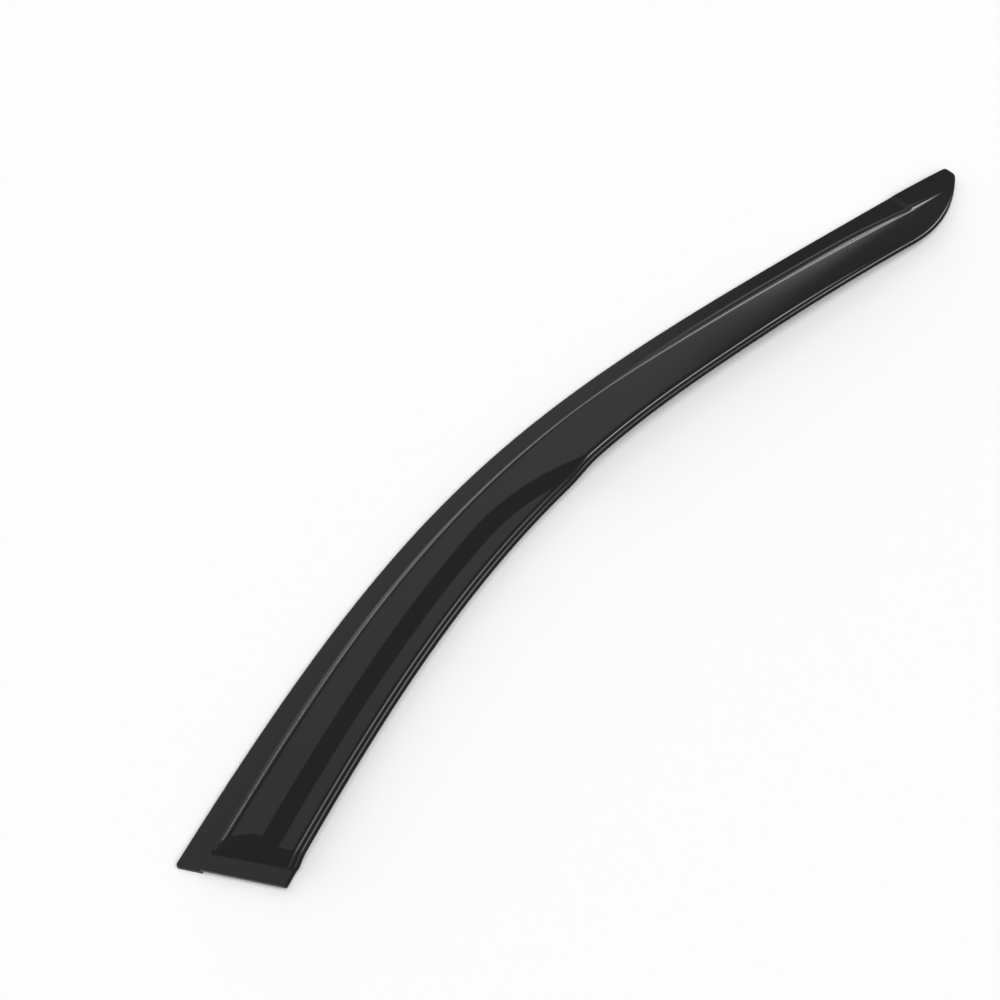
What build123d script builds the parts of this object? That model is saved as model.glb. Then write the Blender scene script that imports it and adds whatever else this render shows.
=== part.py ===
"""Window rain deflector for one car side window, moulded in one piece.

It lies face up. X runs along the chord of the flange edge, from the squared end to the tip. The flange
strip is on the +Y side, the free lip on the -Y side, and the back of the strip lies on Z = 0.
Sizes are in millimetres. A station is a distance u along the flange edge, from the squared end. A section
at a station has n, the distance inwards from the flange edge, and z, the height above the strip's back.
"""
from build123d import *
import math
import os

# Flange edge: one smooth curve over a straight chord
CHORD = 980.0
REAR_ANGLE = 16.35
REAR_REACH = 432.0
TIP_ANGLE = 11.5
TIP_REACH = 469.0

# Wall, and the width of the flange strip at the squared end, along the middle and at the crown's point
WALL = 2.5
STRIP_REAR = 17.2
STRIP_MIDDLE = 14.3
STRIP_SHOULDER = 16.4
STRIP_TIP = 17.3
STRIP_POINT = 25.0
STRIP_REAR_LENGTH = 290.0
STRIP_POINT_LENGTH = 150.0

# Riser from the strip up to the crown: a ramp at its foot, then a steep wall with a rounded top. Its sizes
# change along the visor: at the squared end, along the middle, at the shoulder and at the tip
RISER_HEIGHT = 12.0
POINT_RUN = 1.5
RUN_FADE = 45.0
START_REAR = 25.8
START_MIDDLE = 23.5
START_SHOULDER = 29.0
START_TIP = 29.5
RAMP_RUN_REAR = 2.4
RAMP_RUN_MIDDLE = 3.4
RAMP_RUN_SHOULDER = 1.5
RAMP_RUN_TIP = 1.5
RAMP_RISE_REAR = 0.4
RAMP_RISE_MIDDLE = 1.25
RAMP_RISE_SHOULDER = 0.5
RAMP_RISE_TIP = 0.5

# Share of the wall's width in which its foot and its top turn: tight as far as the middle, then rounder.
# Behind, the wall is flat between these shares of its curve
INNER_CORNERS = (0.3, 0.7)
TIGHT_FOOT = 0.22
ROUND_FOOT = 0.3
TIGHT_TOP = 0.2
ROUND_TOP = 0.6

# Crown, and the step that follows the lip along the rear half and then runs out over it
LIP_HEIGHT = 12.9
CAMBER_LENGTH = 450.0
TIP_CAMBER = 0.6
STEP_DEPTH = 4.6
STEP_WIDTH = 14.0
STEP_REAR_INSET = 25.3
STEP_INSET = 27.0
STEP_TURN = 364.0
STEP_RUNOUT = 128.0

# Width from the flange edge to the lip edge, and the stations of its kink
WIDTH_REAR = 79.7
WIDTH_KINK_REAR = 72.8
WIDTH_KINK_FRONT = 71.0
WIDTH_SHOULDER = 68.2
WIDTH_TIP = 63.3
KINK = 444.0
KINK_LENGTH = 60.0
SHOULDER_FROM_TIP = 298.0

# Bead along the lip, between two crests of which the inner one ends before the tip, and a thin edge
BEAD_WIDTH = 7.6
BEAD_HEIGHT = 0.75
INNER_CREST = 0.29
OUTER_CREST = 0.75
INNER_CREST_FADE = 200.0
LIP_FALL = 1.2
LIP_FACE = 0.5
BEAD_FADE = 30.0
BEAD_START = 4.0
END_LIP_INSET = 1.2

# Squared end: raised flat flange, the sloping wall that closes the crown, and the corners
END_SLANT = 0.165
END_SLANT_LENGTH = 200.0
END_RAISE = 3.0
END_FLANGE = 13.5
END_RUN_RISER = 5.0
END_RUN_APEX = 18.0
END_RUN_LIP = 14.0
END_APEX = 45.0
END_LOW = 62.0
STRIP_CORNER = 3.0
LIP_CORNER = 1.5

# Tip: jog up to a raised flange, swept lip, the point where the crown dies away, and the blunt end
TIP_RAISE = 2.0
JOG_FROM_TIP = 68.0
JOG_LENGTH = 2.5
JOG_INSET = 1.2
TIP_INSET = 2.0
SWEEP_LENGTH = 109.0
SWEEP_DEPTH = 47.3
SWEEP_POWER = 2.12
POINT_FROM_TIP = 26.0
CROWN_FADE = 326.0
LIP_FADE = 260.0
TIP_CORNER = 3.0

# How finely the surface is described: points across the crown, how fast the stations spread out, and spans
CROWN_POINTS = 10
GRADING = 0.45
SPANS = 8

# The strip is drawn this much too thick, then its back is cut flat
BACK_ALLOWANCE = 0.4


def ease(x, start, end):
    """Smooth rise from 0 at start to 1 at end."""
    w = min(max((x - start) / (end - start), 0.0), 1.0)
    return w * w * (3.0 - 2.0 * w)


def blend(start, end, w):
    return start + (end - start) * w


def guide(x, points):
    """Smooth curve through (station, value) points, with no overshoot between them."""
    points = sorted(points)
    if x <= points[0][0]:
        return points[0][1]
    if x >= points[-1][0]:
        return points[-1][1]
    steps = [(b[0] - a[0], (b[1] - a[1]) / (b[0] - a[0])) for a, b in zip(points, points[1:])]
    slopes = [steps[0][1]]
    for (run_a, rate_a), (run_b, rate_b) in zip(steps, steps[1:]):
        same_way = rate_a * rate_b > 0.0
        slopes.append((run_a + run_b) / (run_a / rate_b + run_b / rate_a) if same_way else 0.0)
    slopes.append(steps[-1][1])
    i = max(k for k in range(len(steps)) if points[k][0] <= x)
    run = steps[i][0]
    w = (x - points[i][0]) / run
    bend = (1.0 - w) * w * run * (slopes[i] * (1.0 - w) - slopes[i + 1] * w)
    return blend(points[i][1], points[i + 1][1], ease(w, 0.0, 1.0)) + bend


def cubic(w, points):
    """Point at a share w of a cubic curve with these four control points."""
    shares = [(1.0 - w) ** 3, 3.0 * w * (1.0 - w) ** 2, 3.0 * w**2 * (1.0 - w), w**3]
    return tuple(sum(share * point[k] for share, point in zip(shares, points)) for k in (0, 1))


def flange_edge():
    rear, tip = math.radians(REAR_ANGLE), math.radians(TIP_ANGLE)
    return Bezier(
        (0.0, 0.0, 0.0),
        (REAR_REACH * math.cos(rear), REAR_REACH * math.sin(rear), 0.0),
        (CHORD - TIP_REACH * math.cos(tip), TIP_REACH * math.sin(tip), 0.0),
        (CHORD, 0.0, 0.0),
    )


EDGE = flange_edge()
LENGTH = EDGE.length
JOG = LENGTH - JOG_FROM_TIP
POINT = LENGTH - POINT_FROM_TIP


def lip_width(u):
    """Distance from the flange edge to the lip edge."""
    taper = guide(u, [
        (0.0, WIDTH_REAR),
        (KINK, WIDTH_KINK_REAR),
        (KINK + KINK_LENGTH, WIDTH_KINK_FRONT),
        (LENGTH - SHOULDER_FROM_TIP, WIDTH_SHOULDER),
        (LENGTH - SWEEP_LENGTH, WIDTH_TIP),
    ])
    sweep = max(1.0 - (LENGTH - u) / SWEEP_LENGTH, 0.0) ** SWEEP_POWER
    return taper - SWEEP_DEPTH * sweep


def strip_width(u):
    """Distance from the flange edge to the foot of the riser."""
    return guide(u, [
        (0.0, STRIP_REAR),
        (STRIP_REAR_LENGTH, STRIP_MIDDLE),
        (KINK + KINK_LENGTH, STRIP_MIDDLE),
        (LENGTH - SHOULDER_FROM_TIP, STRIP_SHOULDER),
        (LENGTH - STRIP_POINT_LENGTH, STRIP_TIP),
        (POINT, STRIP_POINT),
    ])


def fade(u, length):
    """Falls from 1 to 0 over a length that ends at the point of the crown."""
    w = min(max((POINT - u) / length, 0.0), 1.0)
    return w * (2.0 - w)


def corner_inset(distance, radius):
    """How far a rounded corner of the plan draws the edge in, at a distance from the end."""
    return radius - math.sqrt(radius**2 - max(radius - distance, 0.0) ** 2)


def step_drop(u, n):
    """How far the step has brought the crown down at n."""
    past_turn = max(u - STEP_TURN, 0.0) / STEP_RUNOUT
    inset = guide(u, [(0.0, STEP_REAR_INSET), (STEP_TURN, STEP_INSET)]) - STEP_INSET * past_turn**2
    middle = lip_width(u) - inset
    return STEP_DEPTH * ease(n, middle - STEP_WIDTH / 2.0, middle + STEP_WIDTH / 2.0)


def pocket(u, n):
    """Rise of the end wall from 0 on the end flange to 1 on the crown. It reaches furthest in at its apex."""
    run = guide(n, [(STRIP_REAR, END_RUN_RISER), (END_APEX, END_RUN_APEX), (END_LOW, END_RUN_LIP)])
    return ease(u, END_FLANGE, END_FLANGE + run)


def along(u, rear, middle, shoulder, tip):
    """Smooth change of a size of the riser along the visor."""
    return guide(u, [
        (0.0, rear),
        (STRIP_REAR_LENGTH, middle),
        (KINK + KINK_LENGTH, middle),
        (LENGTH - SHOULDER_FROM_TIP, shoulder),
        (LENGTH - SWEEP_LENGTH, tip),
    ])


class Section:
    """One cross-section: the joints of its outer skin, and the wall behind them."""

    def __init__(self, u):
        self.u = u
        raised = ease(u, JOG, JOG + JOG_LENGTH)
        crown = fade(u, CROWN_FADE)
        start = along(u, START_REAR, START_MIDDLE, START_SHOULDER, START_TIP)
        self.slant = END_SLANT * (1.0 - ease(u, END_FLANGE + END_RUN_APEX, END_SLANT_LENGTH))

        # Strip: the height of its top and its back, and its edge
        self.level = WALL + TIP_RAISE * raised
        self.back = TIP_RAISE * raised - BACK_ALLOWANCE * (1.0 - raised)
        tip_corner = corner_inset(LENGTH - u, TIP_CORNER)
        drawn_in = JOG_INSET * raised + TIP_INSET * (max(u - JOG, 0.0) / JOG_FROM_TIP) ** 2
        self.edge = drawn_in + corner_inset(u, STRIP_CORNER) + tip_corner
        past_end = ease(u, END_FLANGE, END_FLANGE + BEAD_START)
        lip_inset = END_LIP_INSET * (1.0 - past_end) + corner_inset(u, LIP_CORNER) + tip_corner
        self.lip = lip_width(u) - lip_inset

        # Foot and top of the riser, and root of the bead, which share the blunt end out evenly
        strip = strip_width(u)
        share = pocket(u, start) * fade(u, RUN_FADE)
        quarter = (self.lip - self.edge) / 4.0
        closing = ease(u, POINT, LENGTH)
        self.foot = blend(strip, self.edge + quarter, closing)
        self.top = self.foot + blend(blend(POINT_RUN, start - strip, share), quarter, closing)
        beaded = ease(LENGTH - u, POINT_FROM_TIP / 2.0, POINT_FROM_TIP + BEAD_FADE)
        self.bead = blend(BEAD_WIDTH * (1.0 + beaded) / 2.0, quarter, closing)
        self.root = self.lip - self.bead

        # Ramp and wall of the riser, less where it is short
        ramp_run = along(u, RAMP_RUN_REAR, RAMP_RUN_MIDDLE, RAMP_RUN_SHOULDER, RAMP_RUN_TIP)
        self.ramp_run = blend(POINT_RUN / 4.0, ramp_run, share)
        self.ramp_rise = share * along(u, RAMP_RISE_REAR, RAMP_RISE_MIDDLE, RAMP_RISE_SHOULDER, RAMP_RISE_TIP)
        front = ease(u, KINK + KINK_LENGTH, LENGTH - SHOULDER_FROM_TIP)
        wall_width = self.top - self.foot - self.ramp_run
        self.foot_reach = wall_width * blend(TIGHT_FOOT, ROUND_FOOT, front)
        self.top_reach = wall_width * blend(TIGHT_TOP, ROUND_TOP, front)
        self.foot_slope = (1.0 - front) * self.ramp_rise / self.ramp_run

        # Heights of the crown over its base, and of the bead over the crown
        self.base = WALL + TIP_RAISE * (1.0 - crown)
        self.riser = RISER_HEIGHT * crown
        self.crown_lip = LIP_HEIGHT * fade(u, LIP_FADE)
        self.camber = guide(u, [
            (LENGTH - CAMBER_LENGTH, 0.0),
            (LENGTH - SWEEP_LENGTH, TIP_CAMBER),
            (POINT, 0.0),
        ])
        self.beaded = beaded * past_end
        self.outer_crest = BEAD_HEIGHT * self.beaded
        self.inner_crest = self.outer_crest * ease(LENGTH - SWEEP_LENGTH - u, 0.0, INNER_CREST_FADE)

    def skin(self, n):
        """Height of the crown's outer skin between the top of the riser and the bead."""
        w = (n - self.top) / (self.root - self.top)
        arch = blend(self.riser, self.crown_lip, w) + 4.0 * self.camber * w * (1.0 - w)
        return self.base + blend(END_RAISE, arch - step_drop(self.u, n), pocket(self.u, n))

    def slope(self, n):
        """Slope of the crown's outer skin."""
        d = WALL / 250.0
        return (self.skin(n + d) - self.skin(n - d)) / (2.0 * d)

    def place(self, n, z):
        here = EDGE.position_at(self.u, position_mode=PositionMode.LENGTH)
        along = EDGE.tangent_at(self.u, position_mode=PositionMode.LENGTH)
        across = Vector(along.Y, -along.X, 0.0) + along * self.slant
        return here + across * n + Vector(0.0, 0.0, z)

    def line(self, start, end):
        return Line(self.place(*start), self.place(*end))

    def curve(self, *points):
        return Bezier(*[self.place(n, z) for n, z in points])

    def spline(self, points, first_slope, last_slope):
        """Smooth curve with evenly numbered points, so that all sections match."""
        even = [k / (len(points) - 1) for k in range(len(points))]
        ends = [self.place(1.0, slope) - self.place(0.0, 0.0) for slope in (first_slope, last_slope)]
        return Edge.make_spline([self.place(n, z) for n, z in points], tangents=ends, parameters=even)

    def wire(self):
        """Closed outline of the wall: outer skin, lip edge, inner skin, flange edge."""
        shares = [k / (CROWN_POINTS - 1) for k in range(CROWN_POINTS)]
        crown = [(n, self.skin(n)) for n in (blend(self.top, self.root, w) for w in shares)]
        z_top, z_root = crown[0][1], crown[-1][1]
        top_slope, root_slope = self.slope(self.top), self.slope(self.root)

        # The inner riser stands back so that the wall keeps its thickness where it is steep
        lean = math.atan2(z_top - self.level, self.top - self.foot)
        shift = WALL * math.tan(lean / 2.0)
        inner = [(n + shift * (1.0 - w), z - WALL) for w, (n, z) in zip(shares, crown)]

        def wall(start, end):
            """Control points of a curve that leaves the ramp and meets the crown at its slope."""
            after = (start[0] + self.foot_reach, start[1] + self.foot_slope * self.foot_reach)
            before = (end[0] - self.top_reach, end[1] - top_slope * self.top_reach)
            return start, after, before, end

        # Foot, and knee between ramp and wall, on the outer and the inner skin
        foot = (self.foot, self.level)
        knee = (self.foot + self.ramp_run, self.level + self.ramp_rise)
        inner_foot = (self.foot + shift, self.back)
        inner_knee = (knee[0] + shift, self.back + self.ramp_rise)
        inner_wall = wall(inner_knee, inner[0])
        corners = [inner_knee] + [cubic(w, inner_wall) for w in INNER_CORNERS] + [inner[0]]

        # The bead rises to its crests and falls to the thin lip edge
        inner_crest = (self.root + INNER_CREST * self.bead, z_root + self.inner_crest)
        outer_crest = (self.root + OUTER_CREST * self.bead, z_root + self.outer_crest)
        brow = (self.lip, outer_crest[1] - blend(WALL / 2.0, LIP_FALL, self.beaded))
        lip_under = (self.lip, brow[1] - blend(WALL / 2.0, LIP_FACE, self.beaded))
        return Wire([
            self.line((self.edge, self.level), foot),
            self.line(foot, knee),
            self.curve(*wall(knee, crown[0])),
            self.spline(crown, top_slope, root_slope),
            self.line(crown[-1], inner_crest),
            self.line(inner_crest, outer_crest),
            self.line(outer_crest, brow),
            self.line(brow, lip_under),
            self.line(lip_under, inner[-1]),
            self.spline(inner, top_slope, root_slope),
            *[self.line(a, b) for a, b in zip(corners, corners[1:])],
            self.line(inner_knee, inner_foot),
            self.line(inner_foot, (self.edge, self.back)),
            self.line((self.edge, self.back), (self.edge, self.level)),
        ])


def stations():
    """Stations from end to end, close together at the corners and where the section changes quickly."""
    quick = [
        (END_FLANGE, END_FLANGE + END_RUN_APEX, END_RUN_APEX / 7.0),
        (KINK, KINK + KINK_LENGTH, KINK_LENGTH / 5.0),
        (JOG, JOG + JOG_LENGTH, JOG_LENGTH / 4.0),
        (POINT, LENGTH, POINT_FROM_TIP / 4.0),
    ]

    def stride(u):
        return min(pitch + GRADING * max(start - u, u - end, 0.0) for start, end, pitch in quick)

    rear_corner = max(STRIP_CORNER, LIP_CORNER)
    first, last = rear_corner, LENGTH - TIP_CORNER
    found = [first]
    while found[-1] < last:
        found.append(found[-1] + stride(found[-1]))
    scale = (last - first) / (found[-1] - first)
    between = [first + (u - first) * scale for u in found]
    rounding = [1.0 - math.cos(math.radians(angle)) for angle in range(0, 90, 15)]
    rear = [rear_corner * share for share in rounding]
    tip = [LENGTH - TIP_CORNER * share for share in reversed(rounding)]
    return rear + between + tip


def lies_at(face, x):
    """Whether a face is flat across X, at x."""
    box = face.bounding_box()
    return max(abs(box.min.X - x), abs(box.max.X - x)) < WALL / 1000.0


def in_spans(solid):
    """The same solid with its long faces parted across: a face this long and narrow measures badly."""
    box = solid.bounding_box()
    stops = [box.min.X + box.size.X * k / SPANS for k in range(1, SPANS)]
    faces = []
    rest = solid
    for x in stops:
        cut = Plane(origin=(x, 0.0, 0.0), z_dir=(1.0, 0.0, 0.0))
        faces += split(rest, bisect_by=cut, keep=Keep.BOTTOM).faces()
        rest = split(rest, bisect_by=cut, keep=Keep.TOP)
    faces += rest.faces()
    skin = [face for face in faces if not any(lies_at(face, x) for x in stops)]
    return Solid(Shell(skin))


def visor():
    """The whole moulding, centred over the middle of its box."""
    blank = Solid.make_loft([Section(u).wire() for u in stations()])
    shell = in_spans(split(blank, bisect_by=Plane.XY, keep=Keep.TOP))
    box = shell.bounding_box()
    return shell.moved(Location((-box.center().X, -box.center().Y, 0.0)))


os.makedirs("parts", exist_ok=True)
export_step(visor(), "parts/visor.step")
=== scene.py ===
"""Looks of the window rain deflector: a fine smooth skin on the form of the moulding, and a plain studio.

The moulding's sizes are in millimetres, as in its source. A station is a distance u along the flange edge
from the squared end. A section has n, the distance inwards from that edge, and z, the height above the
strip's back. Other lengths are in metres, and angles in degrees.
"""
import math

import bpy
import numpy as np
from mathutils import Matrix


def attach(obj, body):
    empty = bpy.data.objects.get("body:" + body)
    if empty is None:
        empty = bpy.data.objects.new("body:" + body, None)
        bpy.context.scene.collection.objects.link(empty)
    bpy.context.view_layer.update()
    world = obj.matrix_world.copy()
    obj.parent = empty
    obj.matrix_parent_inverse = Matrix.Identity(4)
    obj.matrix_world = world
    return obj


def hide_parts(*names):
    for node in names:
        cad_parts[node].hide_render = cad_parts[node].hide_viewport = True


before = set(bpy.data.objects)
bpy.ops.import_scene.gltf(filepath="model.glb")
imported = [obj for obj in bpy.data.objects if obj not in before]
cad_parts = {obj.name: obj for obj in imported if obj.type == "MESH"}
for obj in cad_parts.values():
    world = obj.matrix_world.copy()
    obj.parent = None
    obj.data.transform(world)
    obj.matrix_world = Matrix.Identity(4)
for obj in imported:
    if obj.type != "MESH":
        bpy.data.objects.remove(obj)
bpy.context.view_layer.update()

MM = 0.001

# Flange edge: one smooth curve over a straight chord
CHORD = 980.0
REAR_ANGLE = 16.35
REAR_REACH = 432.0
TIP_ANGLE = 11.5
TIP_REACH = 469.0

# Wall, and the width of the flange strip: at the squared end, along the middle, at the shoulder, at the tip
# and at the crown's point
WALL = 2.5
STRIP_REAR = 17.2
STRIP_MIDDLE = 14.3
STRIP_SHOULDER = 16.4
STRIP_TIP = 17.3
STRIP_POINT = 25.0
STRIP_REAR_LENGTH = 290.0
STRIP_POINT_LENGTH = 150.0

# Riser from the strip up to the crown: a ramp at its foot, then a steep wall with a rounded top. Its sizes
# change along the visor: at the squared end, along the middle, at the shoulder and at the tip
RISER_HEIGHT = 12.0
POINT_RUN = 1.5
RUN_FADE = 45.0
START_REAR = 25.8
START_MIDDLE = 23.5
START_SHOULDER = 29.0
START_TIP = 29.5
RAMP_RUN_REAR = 2.4
RAMP_RUN_MIDDLE = 3.4
RAMP_RUN_SHOULDER = 1.5
RAMP_RUN_TIP = 1.5
RAMP_RISE_REAR = 0.4
RAMP_RISE_MIDDLE = 1.25
RAMP_RISE_SHOULDER = 0.5
RAMP_RISE_TIP = 0.5

# Share of the wall's width that its foot and its top take to turn: tight as far as the middle, then rounder
TIGHT_FOOT = 0.22
ROUND_FOOT = 0.3
TIGHT_TOP = 0.2
ROUND_TOP = 0.6

# Crown, and the step that follows the lip along the rear half and then runs out over it
LIP_HEIGHT = 12.9
CAMBER_LENGTH = 450.0
TIP_CAMBER = 0.6
STEP_DEPTH = 4.6
STEP_WIDTH = 14.0
STEP_REAR_INSET = 25.3
STEP_INSET = 27.0
STEP_TURN = 364.0
STEP_RUNOUT = 128.0

# Width from the flange edge to the lip edge, and the stations of its kink
WIDTH_REAR = 79.7
WIDTH_KINK_REAR = 72.8
WIDTH_KINK_FRONT = 71.0
WIDTH_SHOULDER = 68.2
WIDTH_TIP = 63.3
KINK = 444.0
KINK_LENGTH = 60.0
SHOULDER_FROM_TIP = 298.0

# Bead along the lip, between two crests of which the inner one ends before the tip, and a thin edge
BEAD_WIDTH = 7.6
BEAD_HEIGHT = 0.75
INNER_CREST = 0.29
OUTER_CREST = 0.75
INNER_CREST_FADE = 200.0
LIP_FALL = 1.2
LIP_FACE = 0.5
BEAD_FADE = 30.0
BEAD_START = 4.0
END_LIP_INSET = 1.2

# Fine detail that the source leaves out: the furrow between the ribs, shallow dips beside the riser and the
# bead, and a faint line along the strip
FURROW = 0.52
FURROW_DEPTH = 0.65
EDGE_DIP = 0.28
EDGE_DIP_REAR = 0.6
EDGE_DIP_WIDTH = 3.5
EDGE_DIP_LENGTH = 600.0
EDGE_DIP_FADE = 200.0
STRIP_LINE_SHOULDER = 11.8
STRIP_LINE_TIP = 13.0
STRIP_LINE_POINT = 23.0
STRIP_LINE_WIDTH = 2.6
STRIP_LINE_RISE = 0.35
GROOVE_WIDTH = 3.0
GROOVE_DEPTH = 0.3

# Curve from the outer rib down to the lip: shares of its run from each end to the control point next to it,
# and the share of its drop that is left at the second of these points
FALL_FIRST = 0.4
FALL_SECOND = 0.1
FALL_LEFT = 0.5

# Squared end: raised flat flange, the sloping wall that closes the crown, and the corners
END_SLANT = 0.165
END_SLANT_LENGTH = 200.0
END_RAISE = 3.0
END_FLANGE = 13.5
END_RUN_RISER = 5.0
END_RUN_APEX = 18.0
END_RUN_LIP = 14.0
END_APEX = 45.0
END_LOW = 62.0
STRIP_CORNER = 3.0
LIP_CORNER = 1.5

# Tip: jog up to a raised flange, swept lip, the point where the crown dies away, and the blunt end
TIP_RAISE = 2.0
JOG_FROM_TIP = 68.0
JOG_LENGTH = 2.5
JOG_INSET = 1.2
TIP_INSET = 2.0
SWEEP_LENGTH = 109.0
SWEEP_DEPTH = 47.3
SWEEP_POWER = 2.12
POINT_FROM_TIP = 26.0
CROWN_FADE = 326.0
LIP_FADE = 260.0
TIP_CORNER = 3.0

# Edges of the wall are broken by this radius, which the source leaves sharp
EDGE_ROUND = 0.3

# Spacing of the mesh rows: at most, at the two ends, at the kink and at the jog, how fast it opens out away
# from those, and the first angle and the spacing of angles on the rounded corners
ROW_PITCH = 3.6
END_PITCH = ROW_PITCH / 5.0
KINK_PITCH = ROW_PITCH / 2.0
JOG_PITCH = ROW_PITCH / 7.0
ROW_GRADING = 0.04
CORNER_FIRST = 15.0
CORNER_STEP = 7.5

# Points along the flange edge, around a broken edge, and on the stretches of an outline: the crown, its back,
# and those that need a medium number, few or fewest
EDGE_POINTS = 8001
TURN_POINTS = 4
CROWN_POINTS = 60
BACK_POINTS = 18
MEDIUM_POINTS = 24
FEW_POINTS = 12
FEWEST_POINTS = 5

# Half the width over which a slope is measured, and how far short of the bead this is done
SLOPE_STEP = WALL / 250.0
ROOT_STEP = WALL / 100.0

# Acrylic: refraction, two tints, range of roughness, and ripple, with the scale and the detail of each noise
ACRYLIC_IOR = 1.49
TINT_COOL = (0.0085, 0.0085, 0.0088, 1.0)
TINT_WARM = (0.0125, 0.0122, 0.0120, 1.0)
TINT_NOISE = (14.0, 3.0)
ROUGHNESS_LEAST = 0.07
ROUGHNESS_MOST = 0.13
ROUGHNESS_NOISE = (60.0, 4.0)
RIPPLE_STRENGTH = 0.04
RIPPLE_DEPTH = 0.0002
RIPPLE_NOISE = (220.0, 2.0)

# Floor: how far it reaches each way, its gap under the visor, colour and roughness
FLOOR_REACH = 30.0
FLOOR_GAP = 0.0002
FLOOR_COLOUR = (0.97, 0.97, 0.97, 1.0)
FLOOR_ROUGHNESS = 0.9

# Photograph's camera: place, heading from +Y towards +X, angle down, lens and sensor in millimetres, and how
# far it sees
CAMERA_PLACE = (-1.0430, -0.7415, 1.2971)
CAMERA_HEADING = 50.723
CAMERA_DOWN = 46.296
CAMERA_LENS = 82.65
CAMERA_SENSOR = 36.0
CAMERA_REACH = 50.0

# Surroundings: colour, the brightest level, levels by angle over the horizon in the room and on the backdrop,
# and the backdrop's soft left and sharp right edge as headings
WHITE = (1.0, 1.0, 1.0, 1.0)
BRIGHTEST = 3.4
ROOM_LEVELS = [(0, 0.28), (12, 0.24), (27, 0.19), (37, 0.18)]
BACKDROP_LEVELS = [(0, 3.4), (12, 2.3), (20, 1.3), (35, 0.7), (43, 0.62), (55, 0.54), (62, 0.37), (70, 0.18)]
BACKDROP_LEFT = (-65.0, -15.0)
BACKDROP_RIGHT = (53.0, 60.0)

# Fill light: level, spread, heading that it shines towards, and height
FILL_LEVEL = 2.75
FILL_SPREAD = 75.0
FILL_HEADING = 20.0
FILL_HEIGHT = 50.0


def ease(x, start, end):
    """Smooth rise from 0 at start to 1 at end."""
    w = np.clip((x - start) / (end - start), 0.0, 1.0)
    return w * w * (3.0 - 2.0 * w)


def blend(start, end, w):
    return start + (end - start) * w


def guide(x, points):
    """Smooth curve through (station, value) points, with no overshoot between them."""
    at, value = np.array(points).T
    run = np.diff(at)
    rate = np.diff(value) / run
    slope = np.zeros(len(at))
    slope[0], slope[-1] = rate[0], rate[-1]
    for k in range(1, len(rate)):
        if rate[k - 1] * rate[k] > 0.0:
            slope[k] = (run[k - 1] + run[k]) / (run[k - 1] / rate[k] + run[k] / rate[k - 1])
    i = np.clip(np.searchsorted(at, x, side="right") - 1, 0, len(run) - 1)
    w = np.clip((x - at[i]) / run[i], 0.0, 1.0)
    bend = (1.0 - w) * w * run[i] * (slope[i] * (1.0 - w) - slope[i + 1] * w)
    return blend(value[i], value[i + 1], ease(w, 0.0, 1.0)) + bend


def shares(count):
    """Evenly spaced shares of a stretch, up to its end. Its start is counted, but left out."""
    return np.linspace(0.0, 1.0, count)[1:]


def cubic(w, a, b, c, d):
    """Points at shares w of a cubic curve with these control points."""
    return (1.0 - w) ** 3 * a + 3.0 * w * (1.0 - w) ** 2 * b + 3.0 * w**2 * (1.0 - w) * c + w**3 * d


class FlangeEdge:
    """The flange edge in plan, measured by its own length."""

    def __init__(self):
        rear, tip = math.radians(REAR_ANGLE), math.radians(TIP_ANGLE)
        controls = [
            (0.0, 0.0),
            (REAR_REACH * math.cos(rear), REAR_REACH * math.sin(rear)),
            (CHORD - TIP_REACH * math.cos(tip), TIP_REACH * math.sin(tip)),
            (CHORD, 0.0),
        ]
        share = np.linspace(0.0, 1.0, EDGE_POINTS)[:, None]
        self.points = cubic(share, *np.array(controls))
        steps = np.linalg.norm(np.diff(self.points, axis=0), axis=1)
        self.at = np.concatenate([[0.0], np.cumsum(steps)])
        self.length = self.at[-1]
        self.headings = np.gradient(self.points, self.at, axis=0)

    def place(self, u):
        return np.stack([np.interp(u, self.at, self.points[:, k]) for k in (0, 1)], -1)

    def heading(self, u):
        along = np.stack([np.interp(u, self.at, self.headings[:, k]) for k in (0, 1)], -1)
        return along / np.linalg.norm(along, axis=-1, keepdims=True)


EDGE = FlangeEdge()
LENGTH = EDGE.length
JOG = LENGTH - JOG_FROM_TIP
POINT = LENGTH - POINT_FROM_TIP


def lip_width(u):
    """Distance from the flange edge to the lip edge."""
    taper = guide(u, [
        (0.0, WIDTH_REAR),
        (KINK, WIDTH_KINK_REAR),
        (KINK + KINK_LENGTH, WIDTH_KINK_FRONT),
        (LENGTH - SHOULDER_FROM_TIP, WIDTH_SHOULDER),
        (LENGTH - SWEEP_LENGTH, WIDTH_TIP),
    ])
    return taper - SWEEP_DEPTH * np.maximum(1.0 - (LENGTH - u) / SWEEP_LENGTH, 0.0) ** SWEEP_POWER


def strip_width(u):
    """Distance from the flange edge to the foot of the riser."""
    return guide(u, [
        (0.0, STRIP_REAR),
        (STRIP_REAR_LENGTH, STRIP_MIDDLE),
        (KINK + KINK_LENGTH, STRIP_MIDDLE),
        (LENGTH - SHOULDER_FROM_TIP, STRIP_SHOULDER),
        (LENGTH - STRIP_POINT_LENGTH, STRIP_TIP),
        (POINT, STRIP_POINT),
    ])


def fade(u, length):
    """Falls from 1 to 0 over a length that ends at the point of the crown."""
    w = np.clip((POINT - u) / length, 0.0, 1.0)
    return w * (2.0 - w)


def corner_inset(distance, radius):
    """How far a rounded corner draws an edge in, at a distance from the end."""
    return radius - np.sqrt(radius**2 - np.clip(radius - distance, 0.0, radius) ** 2)


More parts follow.
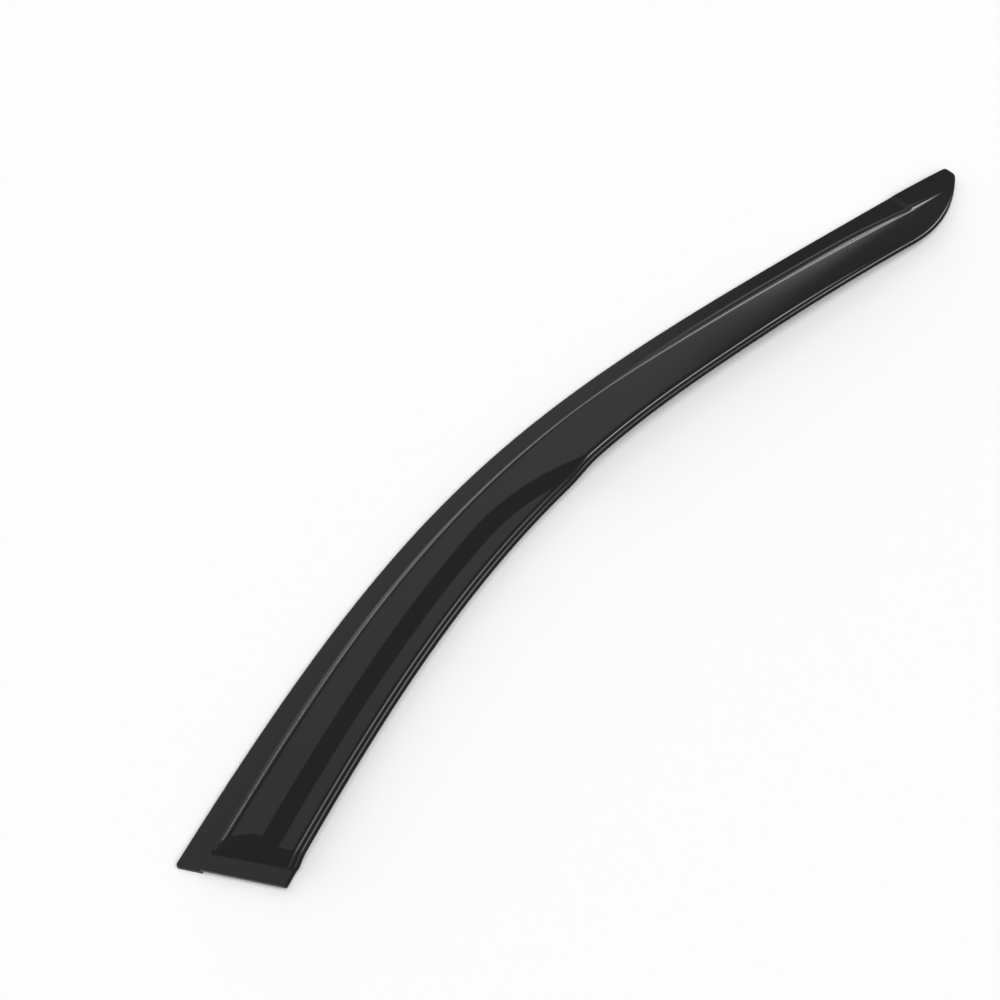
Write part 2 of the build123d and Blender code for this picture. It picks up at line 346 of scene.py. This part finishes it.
def step_drop(u, n):
    """How far the step has brought the crown down at n."""
    past_turn = np.maximum(u - STEP_TURN, 0.0) / STEP_RUNOUT
    inset = guide(u, [(0.0, STEP_REAR_INSET), (STEP_TURN, STEP_INSET)]) - STEP_INSET * past_turn**2
    middle = lip_width(u) - inset
    return STEP_DEPTH * ease(n, middle - STEP_WIDTH / 2.0, middle + STEP_WIDTH / 2.0)


def pocket(u, n):
    """Rise of the end wall from 0 on the end flange to 1 on the crown. It reaches furthest in at its apex."""
    run = guide(n, [(STRIP_REAR, END_RUN_RISER), (END_APEX, END_RUN_APEX), (END_LOW, END_RUN_LIP)])
    return ease(u, END_FLANGE, END_FLANGE + run)


def along(u, rear, middle, shoulder, tip):
    """Smooth change of a size of the riser along the visor."""
    return guide(u, [
        (0.0, rear),
        (STRIP_REAR_LENGTH, middle),
        (KINK + KINK_LENGTH, middle),
        (LENGTH - SHOULDER_FROM_TIP, shoulder),
        (LENGTH - SWEEP_LENGTH, tip),
    ])


class Sections:
    """The cross-sections at all stations, one row each. The wall is thinner by twice shrink at its ends."""

    def __init__(self, u, shrink):
        self.u = u
        self.wall = WALL - 2.0 * shrink
        raised = ease(u, JOG, JOG + JOG_LENGTH)
        crown = fade(u, CROWN_FADE)
        start = along(u, START_REAR, START_MIDDLE, START_SHOULDER, START_TIP)
        rise = pocket(u, start)

        # Strip: the height of its top and its back, and its edge
        self.level = WALL + TIP_RAISE * raised - shrink
        self.back = TIP_RAISE * raised + shrink
        tip_corner = corner_inset(LENGTH - u, TIP_CORNER)
        drawn_in = JOG_INSET * raised + TIP_INSET * (np.maximum(u - JOG, 0.0) / JOG_FROM_TIP) ** 2
        self.edge = drawn_in + corner_inset(u, STRIP_CORNER) + tip_corner + shrink
        past_end = ease(u, END_FLANGE, END_FLANGE + BEAD_START)
        lip_inset = END_LIP_INSET * (1.0 - past_end) + corner_inset(u, LIP_CORNER) + tip_corner
        self.lip = lip_width(u) - lip_inset - shrink

        # Foot and top of the riser, and root of the bead, which share the blunt end out evenly
        strip = strip_width(u)
        share = rise * fade(u, RUN_FADE)
        quarter = (self.lip - self.edge) / 4.0
        closing = ease(u, POINT, LENGTH)
        self.foot = blend(strip, self.edge + quarter, closing)
        self.top = self.foot + blend(blend(POINT_RUN, start - strip, share), quarter, closing)
        beaded = ease(LENGTH - u, POINT_FROM_TIP / 2.0, POINT_FROM_TIP + BEAD_FADE)
        self.bead = blend(BEAD_WIDTH * (1.0 + beaded) / 2.0, quarter, closing)
        self.root = self.lip - self.bead

        # Ramp and wall of the riser, less where it is short
        ramp_run = along(u, RAMP_RUN_REAR, RAMP_RUN_MIDDLE, RAMP_RUN_SHOULDER, RAMP_RUN_TIP)
        self.ramp_run = blend(POINT_RUN / 4.0, ramp_run, share)
        self.ramp_rise = share * along(u, RAMP_RISE_REAR, RAMP_RISE_MIDDLE, RAMP_RISE_SHOULDER, RAMP_RISE_TIP)
        front = ease(u, KINK + KINK_LENGTH, LENGTH - SHOULDER_FROM_TIP)
        wall_width = self.top - self.foot - self.ramp_run
        self.foot_reach = wall_width * blend(TIGHT_FOOT, ROUND_FOOT, front)
        self.top_reach = wall_width * blend(TIGHT_TOP, ROUND_TOP, front)
        self.foot_slope = (1.0 - front) * self.ramp_rise / self.ramp_run

        # Faint line along the strip, in front of the middle
        self.strip_line = guide(u, [
            (KINK + KINK_LENGTH, STRIP_MIDDLE),
            (LENGTH - SHOULDER_FROM_TIP, STRIP_LINE_SHOULDER),
            (LENGTH - STRIP_POINT_LENGTH, STRIP_LINE_TIP),
            (POINT, STRIP_LINE_POINT),
        ])
        self.line_rise = STRIP_LINE_RISE * front * share

        # Heights of the crown over its base, and of the ribs over the crown
        self.base = WALL + TIP_RAISE * (1.0 - crown) - shrink
        self.riser = RISER_HEIGHT * crown
        self.crown_lip = LIP_HEIGHT * fade(u, LIP_FADE)
        self.camber = guide(u, [
            (LENGTH - CAMBER_LENGTH, 0.0),
            (LENGTH - SWEEP_LENGTH, TIP_CAMBER),
            (POINT, 0.0),
        ])
        self.ribbed = beaded * past_end
        self.outer_rib = BEAD_HEIGHT * self.ribbed
        self.inner_rib = self.outer_rib * ease(LENGTH - SWEEP_LENGTH - u, 0.0, INNER_CREST_FADE)
        dip = blend(EDGE_DIP_REAR, EDGE_DIP, ease(u, 0.0, STRIP_REAR_LENGTH))
        self.edge_dip = dip * rise * ease(EDGE_DIP_LENGTH - u, 0.0, EDGE_DIP_FADE)

    def skin(self, n):
        """Height of the crown's outer skin between the top of the riser and the bead."""
        w = (n - self.top) / (self.root - self.top)
        arch = blend(self.riser, self.crown_lip, w) + 4.0 * self.camber * w * (1.0 - w)
        past_edge = np.clip((n - self.top) / EDGE_DIP_WIDTH, 0.0, 1.0)
        into_groove = np.clip(1.0 - (self.root - n) / GROOVE_WIDTH, 0.0, None)
        drop = step_drop(self.u, n) + self.edge_dip * past_edge * (2.0 - past_edge)
        drop = drop + GROOVE_DEPTH * self.ribbed * into_groove**2
        return self.base + blend(END_RAISE, arch - drop, pocket(self.u, n))

    def slope(self, n):
        """Slope of the crown's outer skin."""
        return (self.skin(n + SLOPE_STEP) - self.skin(n - SLOPE_STEP)) / (2.0 * SLOPE_STEP)

    def wall_curve(self, w, start, end):
        """Curve that leaves the ramp along it and meets the crown at its slope."""
        top_slope = self.slope(self.top)
        n = cubic(w, start[0], start[0] + self.foot_reach, end[0] - self.top_reach, end[0])
        after = start[1] + self.foot_slope * self.foot_reach
        z = cubic(w, start[1], after, end[1] - top_slope * self.top_reach, end[1])
        return n, z

    def outline(self):
        """Closed outlines of the wall, as n and z: outer skin, lip edge, inner skin, flange edge."""
        turn = np.linspace(0.0, math.pi / 2.0, TURN_POINTS)
        medium, few, fewest = shares(MEDIUM_POINTS), shares(FEW_POINTS), shares(FEWEST_POINTS)
        shrunk = EDGE_ROUND * self.wall / WALL
        z_top, z_root = self.skin(self.top), self.skin(self.root)

        # Broken edge and flat top of the strip, then the riser and the crown
        parts = [(self.edge + shrunk * (1.0 - np.cos(turn)), self.level - shrunk * (1.0 - np.sin(turn)))]
        strip_n = blend(self.edge + shrunk, self.foot, medium)
        line = ease(strip_n, self.strip_line, self.strip_line + STRIP_LINE_WIDTH)
        strip_z = self.level + self.line_rise * line
        foot_z = strip_z[:, -1:]
        parts.append((strip_n, strip_z))
        knee = (self.foot + self.ramp_run, self.level + self.ramp_rise)
        parts.append((blend(self.foot, knee[0], fewest), blend(foot_z, knee[1], fewest)))
        parts.append(self.wall_curve(medium, knee, (self.top, z_top)))
        across = blend(self.top, self.root, shares(CROWN_POINTS))
        parts.append((across, self.skin(across)))

        # Two ribs with a furrow between them, then the fall to the thin lip edge
        crest = (self.root + INNER_CREST * self.bead, z_root + self.inner_rib)
        outer = (self.root + OUTER_CREST * self.bead, z_root + self.outer_rib)
        furrow = (self.root + FURROW * self.bead, outer[1] - FURROW_DEPTH * self.ribbed)
        brow = outer[1] - blend(self.wall / 2.0, LIP_FALL, self.ribbed)
        under = brow - blend(self.wall / 2.0, LIP_FACE, self.ribbed)
        first = self.slope(self.root - ROOT_STEP)
        for (a_n, a_z), (b_n, b_z) in [((self.root, z_root), crest), (crest, furrow), (furrow, outer)]:
            third = (b_n - a_n) / 3.0
            parts.append((
                cubic(few, a_n, a_n + third, b_n - third, b_n),
                cubic(few, a_z, a_z + first * third, b_z, b_z),
            ))
            first = 0.0
        fall = self.lip - outer[0]
        parts.append((
            cubic(few, outer[0], outer[0] + FALL_FIRST * fall, self.lip - FALL_SECOND * fall, self.lip),
            cubic(few, outer[1], outer[1], blend(brow, outer[1], FALL_LEFT), brow),
        ))
        parts.append((
            self.lip - shrunk * (1.0 - np.cos(turn)),
            under + shrunk * (1.0 - np.sin(turn)),
        ))

        # Inner skin, which stands back at the riser so that the wall keeps its thickness
        lean = np.arctan2(z_top - self.level, self.top - self.foot)
        shift = self.wall * np.tan(lean / 2.0)
        inwards = np.linspace(1.0, 0.0, BACK_POINTS)
        across = blend(self.top, self.root, inwards)
        parts.append((across + shift * (1.0 - inwards), self.skin(across) - self.wall))
        start, end = (self.foot + shift, self.back), (self.top + shift, z_top - self.wall)
        knee = (start[0] + self.ramp_run, start[1] + self.ramp_rise)
        parts.append(self.wall_curve(few[::-1] - few[0], knee, end))
        parts.append((blend(knee[0], start[0], fewest), blend(knee[1], start[1], fewest)))
        flat = np.repeat(self.back, len(fewest), axis=1)
        parts.append((blend(start[0], self.edge + shrunk, fewest), flat))
        parts.append((
            self.edge + shrunk * (1.0 - np.sin(turn[1:])),
            self.back + shrunk * (1.0 - np.cos(turn[1:])),
        ))
        n = np.concatenate([part[0] for part in parts], axis=1)
        z = np.concatenate([part[1] for part in parts], axis=1)
        return n, z

    def place(self, n, z):
        """Points of the outlines, in millimetres over the chord."""
        ahead = EDGE.heading(self.u[:, 0])[:, None, :]
        slant = END_SLANT * (1.0 - ease(self.u, END_FLANGE + END_RUN_APEX, END_SLANT_LENGTH))
        across = np.stack([ahead[..., 1], -ahead[..., 0]], -1) + ahead * slant[..., None]
        plan = EDGE.place(self.u[:, 0])[:, None, :] + across * n[..., None]
        return np.concatenate([plan, z[..., None]], axis=-1)


def rows():
    """Stations of the mesh rows, and how far the wall is drawn in there to break its end edges."""
    quick = [
        (0.0, END_FLANGE + END_RUN_APEX, END_PITCH),
        (KINK, KINK + KINK_LENGTH, KINK_PITCH),
        (JOG, JOG + JOG_LENGTH, JOG_PITCH),
        (POINT, LENGTH, END_PITCH),
    ]

    # Shares of the radius at which rows lie, on a broken edge and on a rounded corner
    turn = 1.0 - np.cos(np.linspace(0.0, math.pi / 2.0, TURN_POINTS)[:-1])
    corner = 1.0 - np.cos(np.radians(np.arange(CORNER_FIRST, 90.0, CORNER_STEP)))
    rear = np.concatenate([EDGE_ROUND * turn, STRIP_CORNER * corner])
    tip = LENGTH - np.concatenate([EDGE_ROUND * turn, TIP_CORNER * corner])
    between = [STRIP_CORNER]
    while between[-1] < LENGTH - TIP_CORNER:
        u = between[-1]
        stride = min(pitch + ROW_GRADING * max(a - u, u - b, 0.0) for a, b, pitch in quick)
        between.append(u + min(stride, ROW_PITCH))
    u = np.unique(np.concatenate([rear, between[:-1], tip]))
    return u, corner_inset(np.minimum(u, LENGTH - u), EDGE_ROUND)


def visor():
    """The whole moulding as one closed mesh, over the CAD solid that it stands for."""
    u, shrink = rows()
    sections = Sections(u[:, None], shrink[:, None])
    points = sections.place(*sections.outline())
    points[..., 2] = np.maximum(points[..., 2], 0.0)
    lo, hi = points.min(axis=(0, 1)), points.max(axis=(0, 1))
    points -= [(lo[0] + hi[0]) / 2.0, (lo[1] + hi[1]) / 2.0, 0.0]
    count, ring = points.shape[:2]
    index = np.arange(count * ring).reshape(count, ring)
    here, ahead = index[:-1], index[1:]
    quads = np.stack([here, np.roll(here, -1, 1), np.roll(ahead, -1, 1), ahead], -1).reshape(-1, 4)
    ends = [index[0][::-1].tolist(), index[-1].tolist()]
    mesh = bpy.data.meshes.new("visor_skin")
    mesh.from_pydata((points.reshape(-1, 3) * MM).tolist(), [], quads.tolist() + ends)
    mesh.polygons.foreach_set("use_smooth", [True] * len(quads) + [False] * len(ends))
    mesh.update()
    piece = bpy.data.objects.new("visor_skin", mesh)
    bpy.context.collection.objects.link(piece)
    return piece


def smoked_acrylic():
    """Near-black gloss acrylic, with the faint unevenness of a moulded surface."""
    material = bpy.data.materials.new("smoked_acrylic")
    material.use_nodes = True
    nodes, links = material.node_tree.nodes, material.node_tree.links
    shader = nodes["Principled BSDF"]
    shader.inputs["IOR"].default_value = ACRYLIC_IOR
    where = nodes.new("ShaderNodeTexCoord")

    def noise(scale, detail):
        node = nodes.new("ShaderNodeTexNoise")
        node.inputs["Scale"].default_value = scale
        node.inputs["Detail"].default_value = detail
        links.new(where.outputs["Object"], node.inputs["Vector"])
        return node

    tint = nodes.new("ShaderNodeMix")
    tint.data_type = "RGBA"
    tint.inputs["A"].default_value = TINT_COOL
    tint.inputs["B"].default_value = TINT_WARM
    links.new(noise(*TINT_NOISE).outputs["Fac"], tint.inputs["Factor"])
    links.new(tint.outputs["Result"], shader.inputs["Base Color"])

    polish = nodes.new("ShaderNodeMapRange")
    polish.inputs["To Min"].default_value = ROUGHNESS_LEAST
    polish.inputs["To Max"].default_value = ROUGHNESS_MOST
    links.new(noise(*ROUGHNESS_NOISE).outputs["Fac"], polish.inputs["Value"])
    links.new(polish.outputs["Result"], shader.inputs["Roughness"])

    ripple = nodes.new("ShaderNodeBump")
    ripple.inputs["Strength"].default_value = RIPPLE_STRENGTH
    ripple.inputs["Distance"].default_value = RIPPLE_DEPTH
    links.new(noise(*RIPPLE_NOISE).outputs["Fac"], ripple.inputs["Height"])
    links.new(ripple.outputs["Normal"], shader.inputs["Normal"])
    return material


def floor():
    """Plain white floor, which takes the visor's shadow."""
    mesh = bpy.data.meshes.new("floor")
    ways = [(-1, -1), (1, -1), (1, 1), (-1, 1)]
    corners = [(FLOOR_REACH * x, FLOOR_REACH * y, 0.0) for x, y in ways]
    mesh.from_pydata(corners, [], [(0, 1, 2, 3)])
    plane = bpy.data.objects.new("floor", mesh)
    plane.location.z = -FLOOR_GAP
    bpy.context.collection.objects.link(plane)
    material = bpy.data.materials.new("floor_white")
    material.use_nodes = True
    shader = material.node_tree.nodes["Principled BSDF"]
    shader.inputs["Base Color"].default_value = FLOOR_COLOUR
    shader.inputs["Roughness"].default_value = FLOOR_ROUGHNESS
    shader.inputs["Specular IOR Level"].default_value = 0.0
    mesh.materials.append(material)


def studio():
    """Surroundings: a dim room, and a bright backdrop on the far side with a sharp right edge."""
    world = bpy.data.worlds.new("studio")
    bpy.context.scene.world = world
    world.use_nodes = True
    nodes, links = world.node_tree.nodes, world.node_tree.links
    nodes.clear()

    def put(value, socket):
        if isinstance(value, bpy.types.NodeSocket):
            links.new(value, socket)
        else:
            socket.default_value = value

    def work(operation, a, b):
        node = nodes.new("ShaderNodeMath")
        node.operation = operation
        put(a, node.inputs[0])
        put(b, node.inputs[1])
        return node.outputs["Value"]

    def between(value, start, end):
        """Smooth rise from 0 to 1 between two headings."""
        node = nodes.new("ShaderNodeMapRange")
        node.interpolation_type = "SMOOTHSTEP"
        put(value, node.inputs["Value"])
        put(math.radians(start), node.inputs["From Min"])
        put(math.radians(end), node.inputs["From Max"])
        return node.outputs["Result"]

    def by_height(value, stops):
        """Level of light by height over the horizon, from (angle, level) stops."""
        node = nodes.new("ShaderNodeValToRGB")
        while len(node.color_ramp.elements) < len(stops):
            node.color_ramp.elements.new(1.0)
        for element, (angle, level) in zip(node.color_ramp.elements, stops):
            element.position = math.sin(math.radians(angle))
            share = level / BRIGHTEST
            element.color = (share, share, share, 1.0)
        put(value, node.inputs["Fac"])
        return work("MULTIPLY", node.outputs["Color"], BRIGHTEST)

    where = nodes.new("ShaderNodeTexCoord")
    split = nodes.new("ShaderNodeSeparateXYZ")
    put(where.outputs["Generated"], split.inputs["Vector"])
    heading = work("ARCTAN2", split.outputs["X"], split.outputs["Y"])
    room = by_height(split.outputs["Z"], ROOM_LEVELS)
    backdrop = by_height(split.outputs["Z"], BACKDROP_LEVELS)
    inside = between(heading, *BACKDROP_LEFT)
    past = between(heading, *BACKDROP_RIGHT)
    on_backdrop = work("MULTIPLY", inside, work("SUBTRACT", 1.0, past))
    glow = work("ADD", room, work("MULTIPLY", on_backdrop, work("SUBTRACT", backdrop, room)))

    # What the camera sees past the floor is plain white
    paths = nodes.new("ShaderNodeLightPath")
    seen = work("MAXIMUM", paths.outputs["Is Camera Ray"], paths.outputs["Is Transmission Ray"])
    strength = work("ADD", work("MULTIPLY", glow, work("SUBTRACT", 1.0, seen)), seen)
    background = nodes.new("ShaderNodeBackground")
    put(WHITE, background.inputs["Color"])
    put(strength, background.inputs["Strength"])
    output = nodes.new("ShaderNodeOutputWorld")
    put(background.outputs["Background"], output.inputs["Surface"])


def lamps():
    """One broad soft light from the lip's side, kept out of the gloss."""
    light = bpy.data.lights.new("fill", "SUN")
    light.angle = math.radians(FILL_SPREAD)
    light.energy = FILL_LEVEL
    lamp = bpy.data.objects.new("fill", light)
    lamp.rotation_euler = (math.radians(90.0 - FILL_HEIGHT), 0.0, math.radians(-FILL_HEADING))
    lamp.visible_glossy = False
    bpy.context.collection.objects.link(lamp)


def camera():
    """The photograph's view."""
    data = bpy.data.cameras.new("camera")
    data.sensor_width = CAMERA_SENSOR
    data.lens = CAMERA_LENS
    data.clip_end = CAMERA_REACH
    eye = bpy.data.objects.new("camera", data)
    eye.location = CAMERA_PLACE
    eye.rotation_euler = (math.radians(90.0 - CAMERA_DOWN), 0.0, math.radians(-CAMERA_HEADING))
    bpy.context.collection.objects.link(eye)
    bpy.context.scene.camera = eye


bpy.context.scene.view_settings.view_transform = "Standard"
camera()
skin = visor()
skin.data.materials.append(smoked_acrylic())
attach(skin, "root")
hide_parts("visor")
floor()
studio()
lamps()
